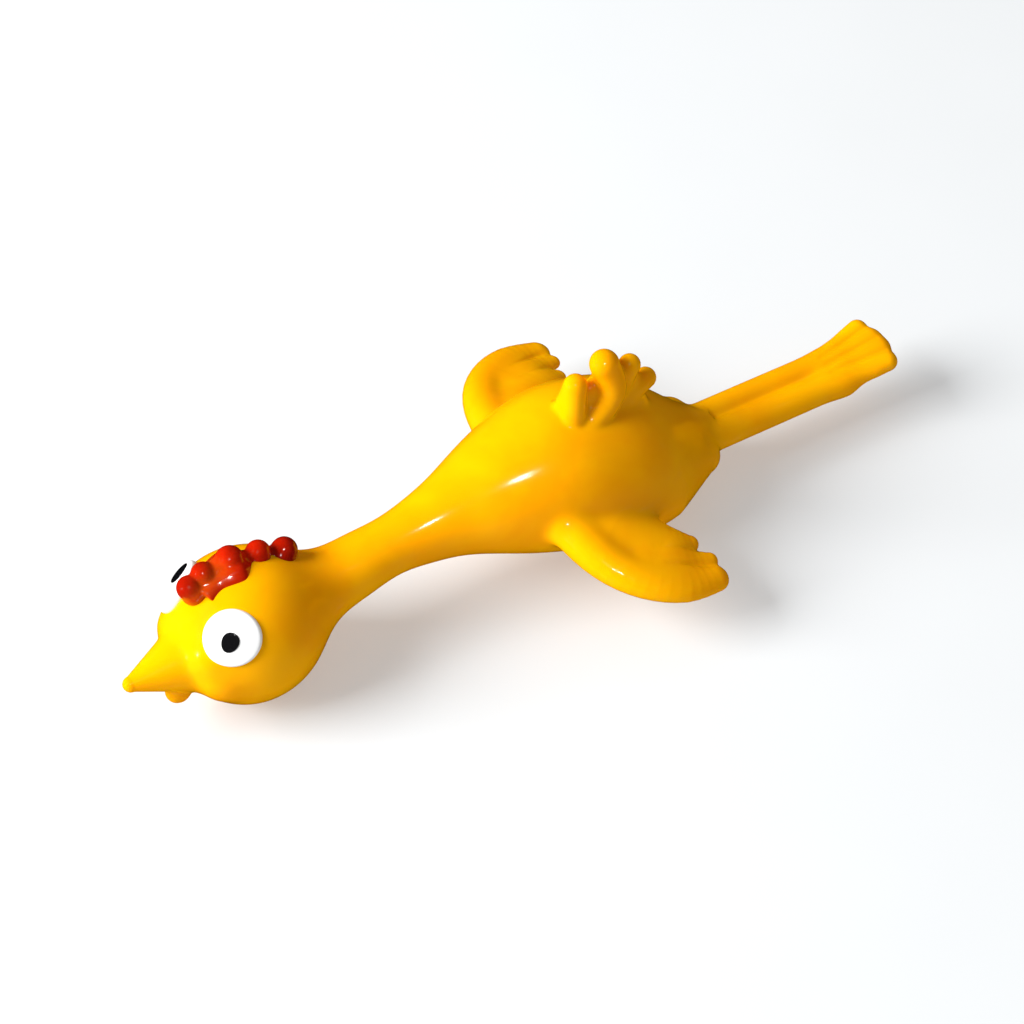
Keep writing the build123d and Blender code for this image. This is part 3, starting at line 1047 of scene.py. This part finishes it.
# ---- Comb ----
@dataclass
class Comb:
    """The fleshy comb: rounded lobes that follow the crown, each on its own stalk, over a wide root."""

    head: HeadPose
    # Forward, left and up from the head's centre, then the lobe's radius, from front to back.
    lobes: tuple[tuple[float, float, float, float], ...] = (
        (5.8, -0.1, 9.4, 1.7),
        (3.6, -0.2, 10.2, 1.65),
        (-0.1, 0.0, 10.3, 1.95),
        (-3.9, 0.1, 9.3, 1.7),
        (-7.3, 0.2, 7.7, 1.8),
    )
    root_share: float = 0.72
    stalk_share: float = 0.91
    voxel: float = 0.16
    rear_root_share: float = 0.6
    rear_begins: float = 0.45  # shares of the crown line between which the strips grow slim
    rear_ends: float = 0.75
    stalk_bead: float = 1.12
    stalk_strip: float = 1.05
    root_strip: float = 2.0
    rounding: int = 3

    def settings(self) -> dict[str, tuple[str, object]]:
        """The node tree's numbers by name, each with its socket type."""
        return {
            "Head Centre": ("NodeSocketVector", [c * MM for c in self.head.centre]),
            "Root Share": ("NodeSocketFloat", self.root_share),
            "Stalk Share": ("NodeSocketFloat", self.stalk_share),
            "Voxel": ("NodeSocketFloat", self.voxel * MM),
            "Rear Root Share": ("NodeSocketFloat", self.rear_root_share),
            "Rounding": ("NodeSocketInt", self.rounding),
        }

    def tree(self, material: bpy.types.Material) -> bpy.types.GeometryNodeTree:
        """Builds the node tree that grows lobes from the points of a line over the crown."""
        tree = bpy.data.node_groups.new("comb_lobes", "GeometryNodeTree")
        face = tree.interface
        face.new_socket("Crown Line", in_out="INPUT", socket_type="NodeSocketGeometry")
        for name, (kind, value) in self.settings().items():
            face.new_socket(name, in_out="INPUT", socket_type=kind).default_value = value
        finish = face.new_socket("Finish", in_out="INPUT", socket_type="NodeSocketMaterial")
        finish.default_value = material
        face.new_socket("Comb", in_out="OUTPUT", socket_type="NodeSocketGeometry")
        nodes = Nodes(tree)
        given = nodes.add("NodeGroupInput").outputs
        radius = nodes.add("GeometryNodeInputRadius").outputs[0]
        place = nodes.add("GeometryNodeInputPosition").outputs[0]
        along = nodes.add("GeometryNodeSplineParameter").outputs["Factor"]
        ball = nodes.add("GeometryNodeMeshIcoSphere", Radius=1.0, Subdivisions=4).outputs[0]

        def vector(operation: str, first: object, second: object) -> object:
            """The output socket of a sum on vectors."""
            node = nodes.add("ShaderNodeVectorMath", {"operation": operation}, i0=first)
            second_place = 3 if operation == "SCALE" else 1
            nodes.tree.links.new(second, node.inputs[second_place])
            return node.outputs[0]

        def lowered(share: object) -> object:
            """The crown line drawn in towards the head's centre."""
            arm = vector("SUBTRACT", place, given["Head Centre"])
            spot = vector("ADD", vector("SCALE", arm, share), given["Head Centre"])
            moved = nodes.add("GeometryNodeSetPosition", Geometry=given["Crown Line"], Position=spot)
            return moved.outputs[0]

        def beads(line: object, size: float) -> object:
            """A ball at each point of a line, sized by the point's radius."""
            spots = nodes.add("GeometryNodeCurveToPoints", {"mode": "EVALUATED"}, Curve=line).outputs[0]
            scale = nodes.math("MULTIPLY", radius, size)
            placed = nodes.add("GeometryNodeInstanceOnPoints", Points=spots, Instance=ball, Scale=scale)
            return placed.outputs[0]

        def strip(line: object, size: float) -> object:
            """A tube along a line, as thick as the line's radius says and slimmer to the rear."""
            ring = nodes.add("GeometryNodeCurvePrimitiveCircle", Radius=size, Resolution=28).outputs[0]
            smooth = nodes.add("GeometryNodeCurveSplineType", {"spline_type": "CATMULL_ROM"}, Curve=line)
            even = nodes.add(
                "GeometryNodeResampleCurve", {"mode": "COUNT"}, Curve=smooth.outputs[0], Count=60
            )
            profile = {"Profile_Curve": ring, "Fill_Caps": True}
            tube = nodes.add("GeometryNodeCurveToMesh", Curve=even.outputs[0], **profile)
            slimmer = nodes.add("ShaderNodeMapRange", Value=along)
            slimmer.inputs["From Min"].default_value = self.rear_begins
            slimmer.inputs["From Max"].default_value = self.rear_ends
            slimmer.inputs["To Min"].default_value = 1.0
            nodes.tree.links.new(given["Rear Root Share"], slimmer.inputs["To Max"])
            nodes.tree.links.new(nodes.math("MULTIPLY", radius, slimmer.outputs[0]), tube.inputs["Scale"])
            return tube.outputs[0]

        stalk, root = lowered(given["Stalk Share"]), lowered(given["Root Share"])
        joined = nodes.add("GeometryNodeJoinGeometry")
        for part in (
            beads(given["Crown Line"], 1.0),
            beads(stalk, self.stalk_bead),
            strip(stalk, self.stalk_strip),
            strip(root, self.root_strip),
        ):
            nodes.tree.links.new(part, joined.inputs[0])
        solid = nodes.add("GeometryNodeRealizeInstances", Geometry=joined.outputs[0]).outputs[0]
        cloud = nodes.add("GeometryNodeMeshToVolume", {"resolution_mode": "VOXEL_SIZE"}, Mesh=solid)
        nodes.tree.links.new(given["Voxel"], cloud.inputs["Voxel Size"])
        cloud.inputs["Interior Band Width"].default_value = 0.001
        by_voxel = {"resolution_mode": "VOXEL_SIZE"}
        shell = nodes.add("GeometryNodeVolumeToMesh", by_voxel, Volume=cloud.outputs[0], Threshold=0.1)
        nodes.tree.links.new(given["Voxel"], shell.inputs["Voxel Size"])
        as_vector = {"data_type": "FLOAT_VECTOR"}
        blur = nodes.add("GeometryNodeBlurAttribute", as_vector, Iterations=given["Rounding"])
        vector_in = [s for s in blur.inputs if s.name == "Value" and s.type == "VECTOR"][0]
        nodes.tree.links.new(place, vector_in)
        vector_out = [s for s in blur.outputs if s.type == "VECTOR"][0]
        eased = nodes.add("GeometryNodeSetPosition", Geometry=shell.outputs[0], Position=vector_out)
        smooth = nodes.add("GeometryNodeSetShadeSmooth", Geometry=eased.outputs[0])
        finished = nodes.add(
            "GeometryNodeSetMaterial",
            Geometry=nodes.add("GeometryNodeRealizeInstances", Geometry=smooth.outputs[0]).outputs[0],
            Material=given["Finish"],
        )
        nodes.add("NodeGroupOutput", Comb=finished.outputs[0])
        return tree

    def build(self, workshop: Workshop) -> bpy.types.Object:
        """Grows the comb on the crown, tints it and mounts it on the head."""
        curve = bpy.data.curves.new("crown_line", "CURVE")
        curve.dimensions = "3D"
        spline = curve.splines.new("POLY")
        spline.points.add(len(self.lobes) - 1)
        for point, (forward, left, up, radius) in zip(spline.points, self.lobes):
            point.co = (*(Vector(self.head.at(forward, left, up)) * MM), 1.0)
            point.radius = radius * MM
        line = bpy.data.objects.new("crown_line", curve)
        bpy.context.scene.collection.objects.link(line)
        modifier = line.modifiers.new("lobes", "NODES")
        modifier.node_group = self.tree(workshop.materials[Slot.RED_RUBBER])
        wanted = self.settings()
        for item in modifier.node_group.interface.items_tree:
            if item.item_type == "SOCKET" and item.in_out == "INPUT" and item.name in wanted:
                modifier[item.identifier] = wanted[item.name][1]
        seen = line.evaluated_get(bpy.context.evaluated_depsgraph_get())
        mesh = bpy.data.meshes.new_from_object(seen)
        mesh.name = "comb"
        bpy.data.objects.remove(line)
        made = bpy.data.objects.new("comb_lobes", mesh)
        bpy.context.scene.collection.objects.link(made)
        self.tint(made)
        workshop.dress(made, Slot.RED_RUBBER, "comb")
        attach(made, "head")
        report(made)
        return made

    def tint(self, piece: bpy.types.Object) -> None:
        """Stores where the red tint is thin, so that amber rubber shows through the front lobes."""
        local = self.head.local(points_of(piece))
        band_height, band_width = 10.9, 0.75
        rear_edge, rear_softness = 1.2, 0.5
        front_edge, front_softness = 7.2, 0.35
        height = np.linalg.norm(local, axis=1)
        band = np.exp(-(((height - band_height) / band_width) ** 2))
        front = 1 / (1 + np.exp(-(local[:, 0] - rear_edge) / rear_softness))
        inset = 1 / (1 + np.exp(-(front_edge - local[:, 0]) / front_softness))
        set_attribute(piece, "accent", 0.85 * band * front * inset)
        set_attribute(piece, "thick", np.ones(len(local)))


# ---- Eyes ----
@dataclass(frozen=True)
class Disc:
    """A raised spot of paint that follows the skin under it.

    The spot is seen along gaze from the head's centre. off_right and off_up move it over the skin,
    long and short are its half sizes, and turn swings its long side, in degrees.
    """

    name: str
    node: str
    gaze: Point
    long: float
    short: float
    top: float
    bottom: float
    edge: float
    turn: float = 0.0
    egg: float = 0.0
    off_right: float = 0.0
    off_up: float = 0.0
    rings: int = 14
    around: int = 96
    edge_steps: int = 6
    seen_from_distance: float = 15.0

    def profile(self) -> list[tuple[float, float]]:
        """Share of the radius and height above the skin, from the middle of the top round to below."""
        inner = 1 - self.edge / self.short
        flat = [(inner * i / self.rings, self.top) for i in range(1, self.rings + 1)]
        turned = []
        for i in range(1, self.edge_steps + 1):
            angle = math.pi / 2 * i / self.edge_steps
            share = inner + (1 - inner) * math.sin(angle)
            turned.append((share, self.top - self.edge + self.edge * math.cos(angle)))
        under = [(1.0, self.bottom)] + [(i / 4, self.bottom) for i in (3, 2, 1)]
        return flat + turned + under

    def build(self, form: RubberForm, head: HeadPose, workshop: Workshop, slot: Slot) -> None:
        """Makes the spot, gives it its paint and mounts it on the head."""
        gaze = unit(head.towards(*self.gaze))
        right = unit(np.cross(gaze, head.axes()[2]))
        up = np.cross(right, gaze)
        middle = np.array(head.centre) + gaze * self.seen_from_distance
        middle = middle + right * self.off_right + up * self.off_up
        turn = math.radians(self.turn)
        angles = 2 * math.pi * np.arange(self.around) / self.around
        swell = 1 + self.egg * np.cos(angles)
        long, short = self.long * np.cos(angles) * swell, self.short * np.sin(angles)
        out_right = long * math.cos(turn) - short * math.sin(turn)
        out_up = long * math.sin(turn) + short * math.cos(turn)
        outline = out_right[:, None] * right + out_up[:, None] * up
        shares = [(0.0, self.top)] + self.profile() + [(0.0, self.bottom)]
        points = []
        for share, height in shares:
            ring = middle + share * outline if share else middle[None, :]
            points.append(form.seen_from(ring, -gaze) + gaze * height)
        rows, n = len(shares) - 2, self.around
        last = 1 + rows * n
        faces = [[0, 1 + i, 1 + (i + 1) % n] for i in range(n)]
        for row in range(rows - 1):
            base = 1 + row * n
            for i in range(n):
                after = (i + 1) % n
                faces.append([base + i, base + n + i, base + n + after, base + after])
        base = 1 + (rows - 1) * n
        faces += [[base + (i + 1) % n, base + i, last] for i in range(n)]
        made = make_object(self.name, np.concatenate(points), faces)
        shell = bmesh.new()
        shell.from_mesh(made.data)
        bmesh.ops.recalc_face_normals(shell, faces=shell.faces)
        shell.to_mesh(made.data)
        shell.free()
        workshop.dress(made, slot, self.node)
        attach(made, "head")
        report(made)


@dataclass
class Eyes:
    """Two raised white discs with black pupils."""

    form: RubberForm
    head: HeadPose
    left: Point = (0.50, 0.69, 0.52)
    right: Point = (0.54, -0.54, 0.64)

    def build(self, workshop: Workshop) -> None:
        """Makes both eyes."""
        whites = (
            Disc("eye_white_left_disc", "eye_white_left", self.left, 3.6, 3.5, 0.5, -0.5, 0.3),
            Disc("eye_white_right_disc", "eye_white_right", self.right, 3.75, 3.6, 0.7, -0.5, 0.35),
        )
        fine = {"rings": 5, "around": 56}
        left_spot = {"turn": -58.0, "egg": 0.12, "off_right": 0.1, "off_up": -0.3, **fine}
        right_spot = {"turn": 30.0, "egg": 0.1, "off_right": 0.5, "off_up": 1.4, **fine}
        pupils = (
            Disc("pupil_left_spot", "pupil_left", self.left, 1.28, 1.08, 0.64, 0.3, 0.1, **left_spot),
            Disc("pupil_right_spot", "pupil_right", self.right, 1.5, 1.3, 0.84, 0.5, 0.1, **right_spot),
        )
        for disc in whites:
            disc.build(self.form, self.head, workshop, Slot.WHITE)
        for disc in pupils:
            disc.build(self.form, self.head, workshop, Slot.BLACK)


# ---- Studio ----
@dataclass(frozen=True)
class Lamp:
    """A square light that shines at the object.

    direction is where it stands as seen from the object. seen_in_gloss says whether the surface
    mirrors it, and only_in_gloss that it is mirrored but throws no light on the surface.
    """

    name: str
    direction: np.ndarray
    size: float
    power: float
    colour: tuple[float, float, float] = (1.0, 1.0, 1.0)
    seen_in_gloss: bool = True
    only_in_gloss: bool = False
    distance: float = 0.75

    def build(self) -> None:
        """Adds the light."""
        place = Vector(unit(self.direction) * self.distance)
        data = bpy.data.lights.new(self.name, "AREA")
        data.shape, data.size, data.energy, data.color = "SQUARE", self.size, self.power, self.colour
        made = bpy.data.objects.new(self.name, data)
        made.location = place
        made.visible_glossy = self.seen_in_gloss
        made.visible_diffuse = not self.only_in_gloss
        made.rotation_euler = (Vector((0.0, 0.0, 0.01)) - place).to_track_quat("-Z", "Y").to_euler()
        bpy.context.scene.collection.objects.link(made)


@dataclass(frozen=True)
class Studio:
    """The floor, the light and the camera.

    scale is how many shares of the image's width, of image_shares in all, one millimetre takes at
    the target.
    """

    elevation: float = 50.5
    turn: float = 30.4
    target: Point = (0.4, 0.0, 8.1)
    distance: float = 450.0
    scale: float = 7.95
    image_shares: float = 1024.0
    floor_size: float = 3.0
    sky_strength: float = 0.36
    floor_glow: float = 0.33

    def directions(self) -> tuple[np.ndarray, np.ndarray]:
        """The level directions to the image's right and away from the camera."""
        turn = math.radians(self.turn)
        right = np.array([-math.cos(turn), math.sin(turn), 0.0])
        away = np.array([-math.sin(turn), -math.cos(turn), 0.0])
        return right, away

    def build(self) -> None:
        """Sets up the whole studio."""
        right, away = self.directions()
        rise = math.radians(self.elevation)
        up = np.array([0.0, 0.0, 1.0])
        back = -math.cos(rise) * away + math.sin(rise) * up
        data = bpy.data.cameras.new("camera")
        data.sensor_width = 36.0
        data.lens = self.scale * self.distance * data.sensor_width / self.image_shares
        data.clip_start, data.clip_end = 0.01, 20.0
        camera = bpy.data.objects.new("camera", data)
        camera.location = (np.array(self.target) + back * self.distance) * MM
        camera.rotation_euler = Vector(back).to_track_quat("Z", "Y").to_euler()
        bpy.context.scene.collection.objects.link(camera)
        bpy.context.scene.camera = camera
        soft = -0.85 * right - 0.2 * away + 0.62 * up
        window = -0.9 * right - 0.4 * away + 0.25 * up
        ceiling = -0.55 * away + 0.85 * up
        Lamp("soft_light", soft, 0.45, 12.0, (1.0, 0.995, 0.985), seen_in_gloss=False).build()
        Lamp("window_light", window, 0.05, 0.45, only_in_gloss=True).build()
        Lamp("ceiling_light", ceiling, 0.06, 1.1, only_in_gloss=True).build()
        self.world()
        self.floor()
        bpy.context.scene.view_settings.view_transform = "Standard"

    def world(self) -> None:
        """A plain pale sky all round."""
        world = bpy.data.worlds.new("studio")
        world.use_nodes = True
        background = world.node_tree.nodes["Background"]
        background.inputs["Color"].default_value = (1.0, 1.0, 1.0, 1.0)
        background.inputs["Strength"].default_value = self.sky_strength
        world.cycles_visibility.glossy = False
        bpy.context.scene.world = world

    def floor(self) -> None:
        """A plain pale floor with a faint paper texture."""
        half = self.floor_size / 2 / MM
        points = np.array([(-half, -half, 0), (half, -half, 0), (half, half, 0), (-half, half, 0)], float)
        made = make_object("floor", points, [[0, 1, 2, 3]])
        material = bpy.data.materials.new("pale_floor")
        material.use_nodes = True
        nodes = Nodes(material.node_tree)
        shader = material.node_tree.nodes["Principled BSDF"]
        where = nodes.add("ShaderNodeTexCoord").outputs["Object"]
        tone = nodes.mix(nodes.noise(where, 30.0), (0.455, 0.475, 0.49), (0.485, 0.505, 0.52))
        nodes.tree.links.new(tone, shader.inputs["Base Color"])
        shader.inputs["Roughness"].default_value = 0.9
        shader.inputs["Emission Color"].default_value = (1.0, 1.0, 1.0, 1.0)
        shader.inputs["Emission Strength"].default_value = self.floor_glow
        shader.inputs["Specular IOR Level"].default_value = 0.1
        made.data.materials.append(material)
        made.visible_glossy = False


def main() -> None:
    """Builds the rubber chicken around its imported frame."""
    logging.basicConfig(level=logging.INFO, format="%(message)s")
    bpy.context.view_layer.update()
    Studio().build()
    workshop = Workshop()
    moulding = Moulding()
    form = moulding.form()
    Skin(form).build(workshop)
    Comb(moulding.head).build(workshop)
    Eyes(form, moulding.head).build(workshop)


if __name__ == "__main__":
    main()
